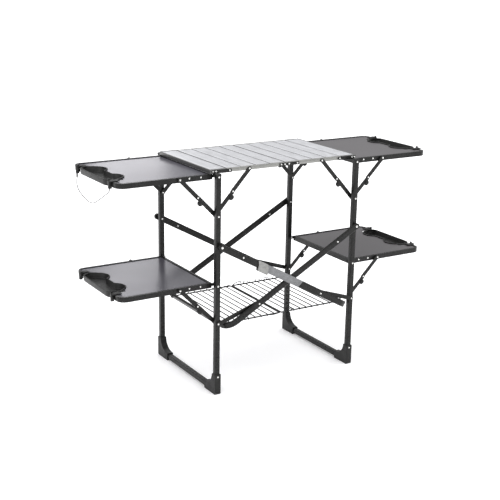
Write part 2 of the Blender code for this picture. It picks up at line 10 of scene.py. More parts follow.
import bmesh
import bpy
from mathutils import Matrix, Vector


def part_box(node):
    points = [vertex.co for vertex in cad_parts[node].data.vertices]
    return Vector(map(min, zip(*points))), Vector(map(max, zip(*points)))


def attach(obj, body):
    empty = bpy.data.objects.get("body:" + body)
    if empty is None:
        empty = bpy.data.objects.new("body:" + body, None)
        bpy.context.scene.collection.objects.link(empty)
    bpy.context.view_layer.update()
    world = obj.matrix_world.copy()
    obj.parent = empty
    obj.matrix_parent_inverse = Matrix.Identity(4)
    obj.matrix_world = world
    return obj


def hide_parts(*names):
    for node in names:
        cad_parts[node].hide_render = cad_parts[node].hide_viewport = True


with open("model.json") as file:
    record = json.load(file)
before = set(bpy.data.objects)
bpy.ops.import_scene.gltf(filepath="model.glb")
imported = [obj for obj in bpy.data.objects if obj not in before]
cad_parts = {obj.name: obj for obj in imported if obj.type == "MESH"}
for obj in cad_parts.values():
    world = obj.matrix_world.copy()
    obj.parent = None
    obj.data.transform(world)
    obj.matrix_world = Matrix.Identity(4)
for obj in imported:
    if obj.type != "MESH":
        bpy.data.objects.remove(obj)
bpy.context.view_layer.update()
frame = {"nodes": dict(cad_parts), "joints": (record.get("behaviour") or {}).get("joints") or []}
NODES = frame["nodes"]
PIVOTS = {joint["name"]: Vector(joint["pos_m"]) for joint in frame["joints"]}
SIDES = {"left": -1, "right": 1}
ENDS = {"front": -1, "back": 1}
LEVELS = ("upper", "lower")

# ---- Camera -----------------------------------------------------------------------------------
CAMERA_PLACE = (-1.99758, -3.15849, 1.53324)
CAMERA_AZIMUTH = -0.5579
CAMERA_ELEVATION = 0.28353
CAMERA_ROLL = 0.01772
CAMERA_LENS = 73.46


def make_camera():
    back = Vector((sin(CAMERA_AZIMUTH) * cos(CAMERA_ELEVATION),
                   -cos(CAMERA_AZIMUTH) * cos(CAMERA_ELEVATION),
                   sin(CAMERA_ELEVATION)))
    level = Vector((cos(CAMERA_AZIMUTH), sin(CAMERA_AZIMUTH), 0))
    rise = back.cross(level)
    right = level * cos(CAMERA_ROLL) + rise * sin(CAMERA_ROLL)
    up = rise * cos(CAMERA_ROLL) - level * sin(CAMERA_ROLL)
    data = bpy.data.cameras.new("photo_camera")
    data.lens = CAMERA_LENS
    data.sensor_width = 36
    data.sensor_fit = "HORIZONTAL"
    data.clip_end = 60
    camera = bpy.data.objects.new("photo_camera", data)
    bpy.context.scene.collection.objects.link(camera)
    turn = Matrix((right, up, back)).transposed().to_4x4()
    camera.matrix_world = Matrix.Translation(CAMERA_PLACE) @ turn
    bpy.context.scene.camera = camera


# ---- Materials --------------------------------------------------------------------------------
class Surface:
    """A Principled material with helpers for procedural colour, roughness and relief."""

    def __init__(self, name, color, roughness, metallic=0.0, **values):
        self.material = bpy.data.materials.new(name)
        self.material.use_nodes = True
        self.nodes = self.material.node_tree.nodes
        self.links = self.material.node_tree.links
        self.shader = self.nodes["Principled BSDF"]
        self.shader.inputs["Base Color"].default_value = (*color, 1)
        self.shader.inputs["Roughness"].default_value = roughness
        self.shader.inputs["Metallic"].default_value = metallic
        for label, value in values.items():
            self.shader.inputs[label.replace("_", " ")].default_value = value
        self.coordinates = self.nodes.new("ShaderNodeTexCoord").outputs["Object"]
        self.relief = None

    def mapped(self, scale=(1, 1, 1), turn=(0, 0, 0)):
        node = self.nodes.new("ShaderNodeMapping")
        node.inputs["Scale"].default_value = scale
        node.inputs["Rotation"].default_value = turn
        self.links.new(self.coordinates, node.inputs["Vector"])
        return node.outputs["Vector"]

    def noise(self, scale, detail=3, vector=None, roughness=0.5):
        node = self.nodes.new("ShaderNodeTexNoise")
        node.inputs["Scale"].default_value = scale
        node.inputs["Detail"].default_value = detail
        node.inputs["Roughness"].default_value = roughness
        self.links.new(vector or self.coordinates, node.inputs["Vector"])
        return node.outputs["Fac"]

    def wave(self, scale, direction="X", vector=None, distortion=0.0, profile="SIN"):
        node = self.nodes.new("ShaderNodeTexWave")
        node.bands_direction = direction
        node.wave_profile = profile
        node.inputs["Scale"].default_value = scale
        node.inputs["Distortion"].default_value = distortion
        self.links.new(vector or self.coordinates, node.inputs["Vector"])
        return node.outputs["Fac"]

    def speckle(self, scale, vector=None):
        node = self.nodes.new("ShaderNodeTexVoronoi")
        node.inputs["Scale"].default_value = scale
        self.links.new(vector or self.coordinates, node.inputs["Vector"])
        return node.outputs["Distance"]

    def math(self, operation, first, second):
        node = self.nodes.new("ShaderNodeMath")
        node.operation = operation
        for socket, value in zip(node.inputs, (first, second)):
            if isinstance(value, (int, float)):
                socket.default_value = value
            else:
                self.links.new(value, socket)
        return node.outputs["Value"]

    def ramp(self, factor, stops):
        """Colours along a factor: stops are (place, colour or grey)."""
        node = self.nodes.new("ShaderNodeValToRGB")
        ramp = node.color_ramp
        while len(ramp.elements) < len(stops):
            ramp.elements.new(0.5)
        for element, (place, color) in zip(ramp.elements, stops):
            element.position = place
            element.color = (*color, 1) if isinstance(color, tuple) else (color, color, color, 1)
        self.links.new(factor, node.inputs["Fac"])
        return node.outputs["Color"]

    def color(self, factor, stops):
        self.links.new(self.ramp(factor, stops), self.shader.inputs["Base Color"])

    def rough(self, factor, low, high):
        self.links.new(self.ramp(factor, [(0.3, low), (0.7, high)]), self.shader.inputs["Roughness"])

    def bump(self, height, strength, distance):
        node = self.nodes.new("ShaderNodeBump")
        node.inputs["Strength"].default_value = strength
        node.inputs["Distance"].default_value = distance
        self.links.new(height, node.inputs["Height"])
        if self.relief:
            self.links.new(self.relief, node.inputs["Normal"])
        self.relief = node.outputs["Normal"]
        self.links.new(self.relief, self.shader.inputs["Normal"])


def powder_coat(name, dark, light, low, high):
    """Black powder coat: a faint orange peel, uneven gloss, and a little dust."""
    surface = Surface(name, dark, 0.4, 0.0, Specular_IOR_Level=0.22)
    surface.color(surface.noise(38, 5), [(0.30, dark), (0.68, light)])
    surface.rough(surface.noise(120, 4), low, high)
    surface.bump(surface.noise(900, 2), 0.16, 0.0004)
    return surface.material


def moulded_plastic(name, dark, light):
    """Black moulded plastic with a fine spark-eroded grain."""
    surface = Surface(name, dark, 0.45, Specular_IOR_Level=0.28)
    surface.color(surface.noise(60, 4), [(0.35, dark), (0.70, light)])
    surface.rough(surface.noise(200, 3), 0.36, 0.52)
    surface.bump(surface.speckle(1500), 0.22, 0.0003)
    return surface.material


def slat_metal():
    """Anodised extrusion: fine ribs and a brushed grain along each slat."""
    surface = Surface("anodised_slat", (0.60, 0.60, 0.62), 0.36, 0.55)
    grain = surface.noise(1.0, 6, surface.mapped((1100, 14, 1100)))
    surface.color(grain, [(0.25, (0.50, 0.505, 0.52)), (0.75, (0.74, 0.745, 0.77))])
    surface.rough(surface.noise(26, 4, surface.mapped((3, 1, 1))), 0.30, 0.44)
    surface.bump(surface.wave(38, "X"), 0.35, 0.0003)
    surface.bump(grain, 0.12, 0.0002)
    return surface.material


def drawn_metal(name, dark, light, stretch):
    """Satin aluminium of the top's rails and edge trims, with its grain along one axis."""
    surface = Surface(name, light, 0.38, 0.6)
    grain = surface.noise(1.0, 5, surface.mapped(stretch))
    surface.color(grain, [(0.25, dark), (0.75, light)])
    surface.rough(surface.noise(50, 3), 0.30, 0.45)
    surface.bump(grain, 0.15, 0.0002)
    return surface.material


def deck_coat(name, dark, light, low, high):
    """Satin grey coated sheet with faint cloudiness and a pebbled skin."""
    surface = Surface(name, light, 0.34, 0.15, Coat_Weight=0.2, Coat_Roughness=0.3)
    surface.color(surface.noise(5, 4, roughness=0.5), [(0.3, dark), (0.7, light)])
    surface.rough(surface.noise(4, 2), low, high)
    surface.bump(surface.noise(1400, 2), 0.05, 0.0002)
    return surface.material


def webbing(name, dark, light, pitch):
    """Woven tape: yarns along and across the bar that it wraps."""
    surface = Surface(name, light, 0.85, Sheen_Weight=0.35, Sheen_Roughness=0.5)
    along = surface.mapped(turn=(0, -BAR_SLOPE, 0))
    warp = surface.wave(pitch, "Z", along)
    weft = surface.wave(pitch * 0.8, "X", along)
    weave = surface.math("MULTIPLY", warp, weft)
    clouds = surface.noise(90, 4)
    surface.color(surface.math("ADD", surface.math("MULTIPLY", weave, 0.45),
                               surface.math("MULTIPLY", clouds, 0.6)),
                  [(0.20, dark), (0.70, light)])
    surface.bump(weave, 0.7, 0.0006)
    surface.bump(clouds, 0.3, 0.0006)
    return surface.material


def bright_steel(name, color, low, high):
    surface = Surface(name, color, 0.25, 1.0)
    surface.color(surface.noise(400, 3), [(0.3, tuple(0.8 * part for part in color)), (0.7, color)])
    surface.rough(surface.noise(300, 3), low, high)
    surface.bump(surface.noise(1500, 2), 0.08, 0.0002)
    return surface.material


def stranded_wire():
    """Bare steel rope: strands that run slantwise round it."""
    surface = Surface("stranded_steel_wire", (0.05, 0.05, 0.048), 0.42, 0.3)
    strands = surface.wave(360, "DIAGONAL")
    surface.color(strands, [(0.1, (0.018, 0.018, 0.017)), (0.8, (0.075, 0.075, 0.072))])
    surface.rough(surface.noise(700, 2), 0.28, 0.45)
    surface.bump(strands, 0.6, 0.0004)
    return surface.material


# ---- Mesh helpers -----------------------------------------------------------------------------
def add_box(mesh, low, high, bevel=0.0, segments=2):
    """Box between two corners given in any order, with rounded edges."""
    low, high = [min(a, b) for a, b in zip(low, high)], [max(a, b) for a, b in zip(low, high)]
    corners = bmesh.ops.create_cube(mesh, size=1.0)["verts"]
    bmesh.ops.scale(mesh, vec=[b - a for a, b in zip(low, high)], verts=corners)
    bmesh.ops.translate(mesh, vec=[(a + b) / 2 for a, b in zip(low, high)], verts=corners)
    if bevel:
        edges = list({edge for vert in corners for edge in vert.link_edges})
        bmesh.ops.bevel(mesh, geom=edges, offset=bevel, segments=segments, profile=0.5, affect="EDGES")


def add_lathe(mesh, place, axis, profile, sides=20):
    """Turned shape: profile is (distance along the axis, radius) from one pole or rim to the other."""
    turn = Vector((0, 0, 1)).rotation_difference(Vector(axis)).to_matrix()
    place = Vector(place)
    rings = []
    for along, radius in profile:
        if radius < 1e-7:
            rings.append([mesh.verts.new(place + turn @ Vector((0, 0, along)))])
            continue
        rings.append([mesh.verts.new(place + turn @ Vector((radius * cos(a), radius * sin(a), along)))
                      for a in (2 * pi * i / sides for i in range(sides))])
    for lower, upper in zip(rings, rings[1:]):
        for i in range(sides):
            j = (i + 1) % sides
            corners = [lower[i % len(lower)], lower[j % len(lower)], upper[j % len(upper)],
                       upper[i % len(upper)]]
            mesh.faces.new([v for n, v in enumerate(corners) if v not in corners[:n]])
    for ring in (rings[0], rings[-1]):
        if len(ring) > 1:
            mesh.faces.new(ring)


def add_rivet(mesh, place, direction, radius=0.0034, height=0.0016):
    """Domed rivet head that stands on a face, with a short shank into it."""
    dome = [(height * sin(a), radius * cos(a)) for a in (pi / 2 * i / 5 for i in range(6))]
    add_lathe(mesh, place, direction, [(-0.0015, radius * 0.6), (0.0, radius * 0.6),
                                       (0.0, radius)] + dome[1:], 16)


def add_pin(mesh, low, high, radius=0.0022):
    """Plain pin between two points."""
    run = Vector(high) - Vector(low)
    add_lathe(mesh, low, run, [(0, 0), (0, radius), (run.length, radius), (run.length, 0)], 12)


def add_tube(mesh, points, radius, sides=10, closed=False):
    """Round tube along points, with a frame carried from one to the next."""
    points = [Vector(point) for point in points]
    count = len(points)
    rings = []
    normal = None
    for number, point in enumerate(points):
        before = points[number - 1] if number or closed else point
        after = points[(number + 1) % count] if number + 1 < count or closed else point
        run = (after - before).normalized()
        if normal is None:
            normal = run.orthogonal().normalized()
        normal = (normal - run * normal.dot(run)).normalized()
        side = run.cross(normal)
        rings.append([mesh.verts.new(point + radius * (normal * cos(a) + side * sin(a)))
                      for a in (2 * pi * i / sides for i in range(sides))])
    pairs = list(zip(rings, rings[1:])) + ([(rings[-1], rings[0])] if closed else [])
    for lower, upper in pairs:
        for i in range(sides):
            j = (i + 1) % sides
            mesh.faces.new((lower[i], lower[j], upper[j], upper[i]))
    if not closed:
        mesh.faces.new(rings[0])
        mesh.faces.new(rings[-1])


def add_prism(mesh, outline, place, bevel=0.0, segments=2):
    """Prism of an outline; place(u, v, side) gives the point of each of its two faces, side 0 and 1."""
    faces = []
    rings = [[mesh.verts.new(place(u, v, side)) for u, v in outline] for side in (0, 1)]
    for i in range(len(outline)):
        j = (i + 1) % len(outline)
        faces.append(mesh.faces.new((rings[0][i], rings[0][j], rings[1][j], rings[1][i])))
    caps = [mesh.faces.new(ring) for ring in rings]
    if bevel:
        edges = list({edge for cap in caps for edge in cap.edges})
        bmesh.ops.bevel(mesh, geom=edges, offset=bevel, segments=segments, profile=0.5, affect="EDGES")


def arc(center, radius, start, end, steps):
    """Points on an arc; angles in turns."""
    angles = [2 * pi * (start + (end - start) * i / steps) for i in range(steps + 1)]
    return [(center[0] + radius * cos(a), center[1] + radius * sin(a)) for a in angles]


def smooth_route(points, steps):
    """Points on a smooth curve (Catmull-Rom) through the given ones, steps for each stretch."""
    points = [Vector(point) for point in points]
    ends = [points[0]] + points + [points[-1]]
    route = []
    for start in range(len(points) - 1):
        a, b, c, d = ends[start:start + 4]
        for step in range(steps):
            t = step / steps
            route.append(0.5 * (2 * b + (c - a) * t + (2 * a - 5 * b + 4 * c - d) * t * t
                                + (3 * b - a - 3 * c + d) * t ** 3))
    return route + [points[-1]]


def finish_piece(name, mesh, material, body, angle=35):
    """Turn a bmesh into a shaded object that rides on a body."""
    bmesh.ops.recalc_face_normals(mesh, faces=mesh.faces)
    data = bpy.data.meshes.new(name)
    mesh.to_mesh(data)
    mesh.free()
    data.materials.append(material)
    data.shade_smooth()
    data.set_sharp_from_angle(angle=radians(angle))
    piece = bpy.data.objects.new(name, data)
    bpy.context.scene.collection.objects.link(piece)
    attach(piece, body)
    return piece


def soften_node(name, material, width, segments=2):
    """A CAD node keeps its shape: welded, with slightly rounded edges, and a new material."""
    node = NODES[name]
    node.data.materials.clear()
    node.data.materials.append(material)
    weld = node.modifiers.new("weld", "WELD")
    weld.merge_threshold = 0.00001
    if width:
        bevel = node.modifiers.new("soften", "BEVEL")
        bevel.width = width
        bevel.segments = segments
        bevel.limit_method = "ANGLE"
        bevel.angle_limit = radians(40)
        bevel.use_clamp_overlap = True
        bevel.harden_normals = False
    smooth = node.modifiers.new("flatten", "WEIGHTED_NORMAL")
    smooth.keep_sharp = False


# ---- Places taken from the frame --------------------------------------------------------------
LEG_X = PIVOTS["brace_right_pivot"].x
LEG_LOW, LEG_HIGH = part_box("leg_right_back")
LEG_FACE = LEG_HIGH.y
LEG_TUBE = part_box("foot_bar_right")[1].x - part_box("foot_bar_right")[0].x
LEG_INNER = LEG_FACE - LEG_TUBE
BAR_PIVOT_Z = PIVOTS["brace_left_pivot"].z
BAR_END = PIVOTS["rack_right_hinge"]
BAR_SLOPE = atan2(BAR_PIVOT_Z - BAR_END.z, LEG_X + BAR_END.x)
TABLE_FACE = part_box("top_half_right")[1].y
TOP_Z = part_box("top_half_right")[1].z
TOP_PIVOT = PIVOTS["right_frame_hinge"]


# ---- Frame and its fasteners ------------------------------------------------------------------
def dress_frame(steel, plastic, wire):
    for name in NODES:
        if name.startswith(("leg_", "foot_bar", "brace")):
            soften_node(name, steel, 0.0006)
        elif name.startswith(("link_", "strut_", "top_strut")):
            soften_node(name, steel, 0.0004)
        elif name.startswith("foot_"):
            soften_node(name, plastic, 0.0014, 3)
        elif name.startswith("table_rim"):
            soften_node(name, steel, 0.0009, 3)


def make_leg_caps(plastic):
    """Moulded cap on each leg's top."""
    for side_name, side in SIDES.items():
        mesh = bmesh.new()
        for end in ENDS.values():
            half = LEG_TUBE / 2 + 0.0004
            middle = end * (LEG_FACE - LEG_TUBE / 2)
            top = PIVOTS[f"table_upper_{side_name}_fold"].z + 0.0085
            add_box(mesh, (side * LEG_X - half, middle - half, top - 0.006),
                    (side * LEG_X + half, middle + half, top + 0.0025), 0.0024, 3)
        finish_piece(f"leg_caps_{side_name}", mesh, plastic, f"leg_frame_{side_name}")


def make_brace_plugs(plastic):
    """Moulded plug inside each open end of the braces' bars, which are rounded about the pivot."""
    for side_name, side in SIDES.items():
        low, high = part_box(f"brace_{side_name}")
        turn = Matrix.Rotation(BAR_SLOPE if side < 0 else pi - BAR_SLOPE, 3, "Y")
        center = Vector((side * LEG_X, 0, BAR_PIVOT_Z))
        outline = [(0.010, 0.0105), (0.010, -0.0105)] + arc((0, 0), 0.0113, 0.75, 0.25, 12)
        mesh = bmesh.new()
        for end in ENDS.values():
            face = high.y if end > 0 else low.y
            faces = (face - end * 0.0013, face - end * 0.0087)

            def place(u, v, inner, faces=faces):
                return center + turn @ Vector((u, 0, v)) + Vector((0, faces[inner], 0))
            add_prism(mesh, outline, place, 0.0008)
        finish_piece(f"brace_plugs_{side_name}", mesh, plastic, f"brace_{side_name}")


def rivets_on(name, body, heads, steel):
    """All the rivets of one body: heads are (place, direction, radius)."""
    mesh = bmesh.new()
    for place, direction, radius in heads:
        add_rivet(mesh, place, direction, radius, radius * 0.48)
    return finish_piece(name, mesh, steel, body)


def make_rivets(steel):
    """Bright rivets at each pivot and fixing."""
    for side_name, side in SIDES.items():
        leg = f"leg_frame_{side_name}"
        heads = []
        low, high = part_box(f"foot_{side_name}_front")
        for end in ENDS.values():
            outward = (0, end, 0)
            end_name = "back" if end > 0 else "front"
            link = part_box(f"link_{side_name}_{end_name}")
            link_face = max(abs(link[0].y), abs(link[1].y))
            for level in LEVELS:
                z = PIVOTS[f"table_{level}_{side_name}_fold"].z
                heads.append(((side * LEG_X, end * LEG_FACE, z), outward, 0.0036))
                heads.append(((side * (LEG_X + 0.001), end * (TABLE_FACE - 0.002), z), (0, -end, 0),
                              0.0030))
                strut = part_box(f"strut_leg_{level}_{side_name}_{end_name}")
                strut_face = min(abs(strut[0].y), abs(strut[1].y))
                z = PIVOTS[f"struts_leg_{level}_{side_name}_pivot"].z
                heads.append(((side * LEG_X, end * (link_face if level == "lower" else LEG_FACE), z),
                              outward, 0.0036))
                if level == "lower":
                    heads.append(((side * LEG_X, end * strut_face, z), (0, -end, 0), 0.0034))
            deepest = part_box(f"top_strut_leg_{side_name}_{end_name}")
            heads.append(((side * LEG_X, end * min(abs(deepest[0].y), abs(deepest[1].y)),
                           PIVOTS[f"struts_leg_upper_{side_name}_pivot"].z), (0, -end, 0), 0.0036))
            heads.append(((side * LEG_X, end * LEG_INNER, BAR_PIVOT_Z), (0, -end, 0), 0.0036))
            heads.append(((side * LEG_X, end * (LEG_FACE + 0.003), high.z - 0.0095), outward, 0.0034))
            plate = LEG_LOW.y if end > 0 else -LEG_LOW.y
            for x in (TOP_PIVOT.x, LEG_X - 0.004, LEG_X + 0.0065):
                heads.append(((side * x, end * (abs(plate) + 0.0024), TOP_PIVOT.z), outward, 0.0032))
        rivets_on(f"rivets_leg_frame_{side_name}", leg, heads, steel)

        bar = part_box(f"brace_{side_name}")
        heads = []
        for end in ENDS.values():
            face = bar[1].y if end > 0 else bar[0].y
            for along in (0.0, 0.098, 0.485):
                place = (side * (LEG_X - along * cos(BAR_SLOPE)), face,
                         BAR_PIVOT_Z - along * sin(BAR_SLOPE))
                heads.append((place, (0, end, 0), 0.0046 if along == 0 else 0.0034))
                if along:
                    heads.append(((place[0], face - end * 0.010, place[2]), (0, -end, 0), 0.0034))
        rivets_on(f"rivets_brace_{side_name}", f"brace_{side_name}", heads, steel)

        heads = []
        for end in ENDS.values():
            for x in (PIVOTS[f"top_struts_rail_{side_name}_pivot"].x,):
                heads.append(((x, end * (TABLE_FACE + 0.0032),
                               PIVOTS[f"top_struts_rail_{side_name}_pivot"].z),
                              (0, end, 0), 0.0036))
        rivets_on(f"rivets_top_{side_name}", f"top_{side_name}", heads, steel)
        make_knees(f"top_struts_leg_{side_name}", f"top_strut_leg_{side_name}",
                   f"top_strut_rail_{side_name}", steel)

        for level in LEVELS:
            fold = PIVOTS[f"table_{level}_{side_name}_fold"]
            reach = PIVOTS[f"struts_table_{level}_{side_name}_pivot"].x - fold.x
            heads = []
            for end in ENDS.values():
                for share in (0.385, 0.707):
                    heads.append(((fold.x + share * reach, end * TABLE_FACE, fold.z - 0.001),
                                  (0, end, 0), 0.0034))
                heads.append(((fold.x + reach, end * (TABLE_FACE + 0.0095), fold.z - 0.001),
                              (0, end, 0), 0.0036))
            rivets_on(f"rivets_table_{level}_{side_name}", f"table_{level}_{side_name}", heads, steel)
            name = f"{level}_{side_name}"
            make_knees(f"struts_leg_{name}", f"strut_leg_{name}", f"strut_table_{name}", steel)


def make_knees(body, leg_piece, far_piece, steel):
    """Pin and rivet heads through a strut's knee, and the domed grip on its snap lock."""
    rivets, knobs = bmesh.new(), bmesh.new()
    for end_name, end in ENDS.items():
        near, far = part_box(f"{leg_piece}_{end_name}"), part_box(f"{far_piece}_{end_name}")
        outer = max(abs(value.y) for value in near + far)
        inner = min(abs(value.y) for value in near + far)
        side = 1 if near[0].x > 0 else -1
        away = 1 if abs(far[0].x + far[1].x) > abs(near[0].x + near[1].x) else -1
        knee_x = (near[0].x + 0.0058 if away * side < 0 else near[1].x - 0.0058)
        knee_z = near[1].z - 0.0058
        add_pin(rivets, (knee_x, end * (inner + 0.0003), knee_z), (knee_x, end * (outer - 0.0003), knee_z))
        add_rivet(rivets, (knee_x, end * (outer - 0.0004), knee_z), (0, end, 0), 0.0034, 0.0011)
        add_rivet(rivets, (knee_x, end * (inner + 0.0004), knee_z), (0, -end, 0), 0.0034, 0.0011)
        foot = PIVOTS[f"{body}_pivot"]
        down = Vector((foot.x - knee_x, 0, foot.z - knee_z)).normalized()
        across = Vector((-down.z, 0, down.x))
        if across.z > 0:
            across.negate()
        knob = Vector((knee_x, 0, knee_z)) + down * 0.019 + across * 0.009
        for y, facing in ((abs(near[0].y + near[1].y) / 2 + 0.0013, 1),
                          (abs(near[0].y + near[1].y) / 2 - 0.0013, -1)):
            dome = [(-0.0010, 0.0075), (0.0002, 0.0088), (0.0016, 0.0090), (0.0030, 0.0080),
                    (0.0040, 0.0055), (0.0044, 0)]
            add_lathe(knobs, (knob.x, end * y, knob.z), (0, end * facing, 0), dome, 20)
        add_pin(rivets, (knob.x, end * (outer + 0.0030), knob.z),
                (knob.x, end * (outer - 0.001), knob.z), 0.0016)
    finish_piece(f"rivets_{body}", rivets, steel, body)
    finish_piece(f"knobs_{body}", knobs, KNOB, body)


# ---- Folding top ------------------------------------------------------------------------------
SEAM = 0.0036


def slat_outline(low_x, high_x, top, thick):
    """Section of one slat: rounded top edges and three shallow grooves."""
    radius = 0.0009
    outline = [(low_x, top - thick), (high_x, top - thick)]
    outline += arc((high_x - radius, top - radius), radius, 0, 0.25, 3)
    width = high_x - low_x
    for share in (0.75, 0.5, 0.25):
        x = low_x + width * share
        outline += [(x + 0.0007, top), (x, top - 0.0005), (x - 0.0007, top)]
    outline += arc((low_x + radius, top - radius), radius, 0.25, 0.5, 3)
    return outline


def along_y(low, high):
    """Places an outline in X and Z as a prism from low to high in Y."""
    return lambda u, v, side: Vector((u, high if side else low, v))


def make_top(slats_metal, rail_finish, plate_finish, steel):
    for side_name, side in SIDES.items():
        low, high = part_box(f"top_half_{side_name}")
        body = f"top_{side_name}"
        reach = TABLE_FACE - 0.0125
        slats = bmesh.new()
        pitch = (high.x - low.x) / 4
        for number in range(4):
            start = low.x + pitch * number + SEAM / 2
            add_prism(slats, slat_outline(start, start + pitch - SEAM, TOP_Z - 0.0004, 0.0030),
                      along_y(-reach, reach))
        piece = finish_piece(f"slats_{side_name}", slats, slats_metal, body, 25)
        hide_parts(f"top_half_{side_name}")

        rails = bmesh.new()
        for end in ENDS.values():
            face, inner = end * TABLE_FACE, end * (TABLE_FACE - 0.012)
            add_box(rails, (low.x, inner, low.z), (high.x, face, TOP_Z), 0.0014, 3)
            add_box(rails, (low.x + 0.001, end * (TABLE_FACE - 0.0145), TOP_Z - 0.0062),
                    (high.x - 0.001, inner, TOP_Z - 0.0036), 0.0004)
        finish_piece(f"top_rails_{side_name}", rails, rail_finish, body)

        under = bmesh.new()
        # The black strips in the slat seams, just below the slats' tops, stand for the shadow in the seams:
        # painted shade.
        for number in range(5):
            seam_x = min(max(low.x + pitch * number, low.x + 0.0010), high.x - 0.0010)
            half = SEAM / 2 if 0 < number < 4 else 0.0009
            add_box(under, (seam_x - half, -reach, TOP_Z - 0.0040), (seam_x + half, reach, TOP_Z - 0.0006))
        add_box(under, (low.x + 0.0012, -reach, TOP_Z - 0.0046),
                (high.x - 0.0012, reach, TOP_Z - 0.0036), 0.0003)
        for share in (0.30, 0.72):
            x = low.x + (high.x - low.x) * share
            add_box(under, (x - 0.009, -reach, TOP_Z - 0.0078), (x + 0.009, reach, TOP_Z - 0.0044), 0.0006)
        finish_piece(f"top_underlay_and_seam_shade_{side_name}", under, plate_finish, body)

        reach_x = {"left": (-0.030, -0.0012), "right": (0.0012, 0.055)}[side_name]
        spots = {"left": (-0.0215, -0.0062), "right": (0.0115, 0.047)}[side_name]
        plates, heads = bmesh.new(), []
        for end in ENDS.values():
            add_box(plates, (reach_x[0], end * (TABLE_FACE + 0.0001), low.z + 0.0006),
                    (reach_x[1], end * (TABLE_FACE + 0.0013), TOP_Z - 0.0008), 0.0004)
            heads += [((x, end * (TABLE_FACE + 0.0013), TOP_PIVOT.z), (0, end, 0), 0.0030) for x in spots]
        finish_piece(f"hinge_plates_{side_name}", plates, plate_finish, body)
        rivets_on(f"rivets_hinge_{side_name}", body, heads, steel)

        low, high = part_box(f"end_slat_{side_name}")
        near, far = sorted((abs(low.x), abs(high.x)))
        slat = bmesh.new()
        inner_x, outer_x = sorted((side * near, side * (far - 0.005)))
        add_prism(slat, slat_outline(inner_x, outer_x, TOP_Z - 0.0004, 0.0030), along_y(-reach, reach))
        piece = finish_piece(f"fixed_slat_{side_name}", slat, slats_metal, f"leg_frame_{side_name}",
                             25)
        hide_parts(f"end_slat_{side_name}")
        trim = bmesh.new()
        add_box(trim, (side * (far - 0.0052), -TABLE_FACE, low.z),
                (side * far, TABLE_FACE, TOP_Z + 0.0002), 0.0015, 3)
        for end in ENDS.values():
            add_box(trim, (side * near, end * (TABLE_FACE - 0.012), low.z),
                    (side * (far - 0.005), end * TABLE_FACE, TOP_Z), 0.0012, 3)
        finish_piece(f"edge_trim_{side_name}", trim, SHADED_TRIM, f"leg_frame_{side_name}")


# ---- Side tables ------------------------------------------------------------------------------
def tray_outline(side, far, grow, steps=14):
    """Plan of the tray's outer wall, drawn round: a straight outer edge and two cups joined by a neck."""
    radius = 0.042 + grow
    cup_x, cup_y = far - 0.0425, 0.068
    neck_x = far - 0.062 - grow
    half = 0.125 + grow
    corner = 0.034 + grow
    meet = ((neck_x - cup_x) / radius)
    rise = radius * (1 - meet * meet) ** 0.5
    outline = arc((far + grow - corner, half - corner), corner, 0, 0.25, 5)
    end_angle = 0.5 + (pi / 2 - atan2(cup_x - neck_x, rise)) / (2 * pi) - 0.25
    start_angle = 0.25 + 0.085
    outline += arc((cup_x, cup_y), radius, start_angle, 0.5 + atan2(rise, cup_x - neck_x) / (2 * pi), steps)
    outline += [(x, -y) for x, y in reversed(outline)]
    return [(side * x, y) for x, y in outline]


def make_tray(level, side_name, plastic):
    """Moulded cup tray with a rolled lip, and the corner blocks with their hooks and studs."""
    side = SIDES[side_name]
    name = f"{level}_{side_name}"
    low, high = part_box(f"cup_tray_{name}")
    far = max(abs(low.x), abs(high.x))
    body = f"table_{name}"
    wall, lip = 0.0026, 0.0012
    levels = [(0.0, high.z - 0.0006), (-0.0006, high.z), (-wall, high.z), (-wall - 0.0006, high.z - 0.0006),
              (-wall - 0.0014, low.z + 0.0050), (-wall - 0.0030, low.z + 0.0028)]
    outside = [(-0.0030, low.z), (-0.0012, low.z + 0.0012), (-0.0004, low.z + 0.004)]
    mesh = bmesh.new()
    rings = []
    for grow, z in outside + [(0.0, high.z - 0.0030), (lip, high.z - 0.0024),
                              (lip, high.z - 0.0008)] + levels[1:]:
        rings.append([mesh.verts.new((x, y, z)) for x, y in tray_outline(side, far, grow)])
    for lower, upper in zip(rings, rings[1:]):
        for i in range(len(lower)):
            j = (i + 1) % len(lower)
            mesh.faces.new((lower[i], lower[j], upper[j], upper[i]))
    mesh.faces.new(rings[0])
    mesh.faces.new(rings[-1])
    tray = finish_piece(f"tray_{name}", mesh, plastic, body, 50)
    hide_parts(f"cup_tray_{name}")

    fold = PIVOTS[f"table_{name}_fold"]
    blocks = bmesh.new()
    rim_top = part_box(f"table_deck_{name}")[1].z + 0.0033
    for end in ENDS.values():
        add_box(blocks, (side * (far - 0.036), end * 0.1285, rim_top - 0.0015),
                (side * (far - 0.0005), end * 0.150, rim_top + 0.0016), 0.0012, 3)
        add_box(blocks, (side * (far - 0.0105), end * 0.1315, fold.z - 0.0183),
                (side * (far + 0.0004), end * 0.1425, rim_top + 0.0020), 0.0022, 3)
        add_box(blocks, (side * (far - 0.0092), end * 0.1265, rim_top - 0.012),
                (side * (far - 0.0008), end * 0.135, rim_top + 0.0012), 0.0018, 3)
        add_lathe(blocks, (side * (far - 0.0055), end * 0.1300, rim_top + 0.001), (0, 0, 1),
                  [(0, 0.0040), (0.0020, 0.0036), (0.0032, 0.0044), (0.0046, 0.0042), (0.0056, 0.0026),
                   (0.0058, 0)], 14)
        sweep = arc((far - 0.0425, 0.068), 0.0515, 0.10, 0.215, 8)
        sweep += list(reversed(arc((far - 0.0425, 0.068), 0.0485, 0.10, 0.215, 8)))
        add_prism(blocks, [(side * x, end * y) for x, y in sweep],
                  lambda u, v, up: Vector((u, v, rim_top - 0.0040 + 0.0050 * up)), 0.0006)
    finish_piece(f"tray_corners_{name}", blocks, plastic, body, 40)


